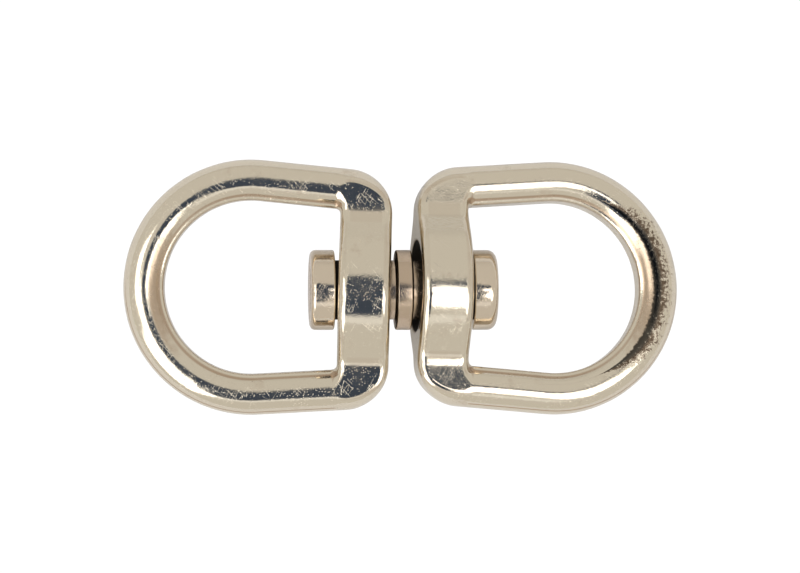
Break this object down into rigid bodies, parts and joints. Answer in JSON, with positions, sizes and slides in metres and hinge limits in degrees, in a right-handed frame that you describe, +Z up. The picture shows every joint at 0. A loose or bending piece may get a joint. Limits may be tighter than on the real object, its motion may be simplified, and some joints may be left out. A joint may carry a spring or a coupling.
{
  "type": "double-eye swivel",
  "caption": "Loose-fitting swivel with two D-shaped cast eyes that turn freely on one double-headed spindle with a middle collar.",
  "frame": {"origin": "middle of the spindle's collar, on the spindle's axis", "axes": "+X along the spindle towards the right eye, +Y across the eyes, +Z up through their flat side"},
  "size_m": [0.0808, 0.037, 0.0164],
  "materials": {
    "plated_casting": "bright nickel plate over a slightly dimpled zinc casting",
    "plated_steel": "bright nickel plate over turned steel, browner where the plate is thin"
  },
  "bodies": {
    "left_eye": {"left_eye": "plated_casting"},
    "spindle": {"spindle": "plated_steel", "left_retaining_head": "plated_steel", "right_retaining_head": "plated_steel"},
    "right_eye": {"right_eye": "plated_casting"}
  },
  "joints": [
    {"name": "left_swivel", "type": "hinge", "parent": "left_eye", "child": "spindle", "pos_m": [0, 0, 0], "axis": [1, 0, 0], "continuous": true},
    {"name": "right_swivel", "type": "hinge", "parent": "spindle", "child": "right_eye", "pos_m": [0.00555, 0.00055, 0], "axis": [0.9974, -0.0157, -0.0698], "continuous": true}
  ]
}
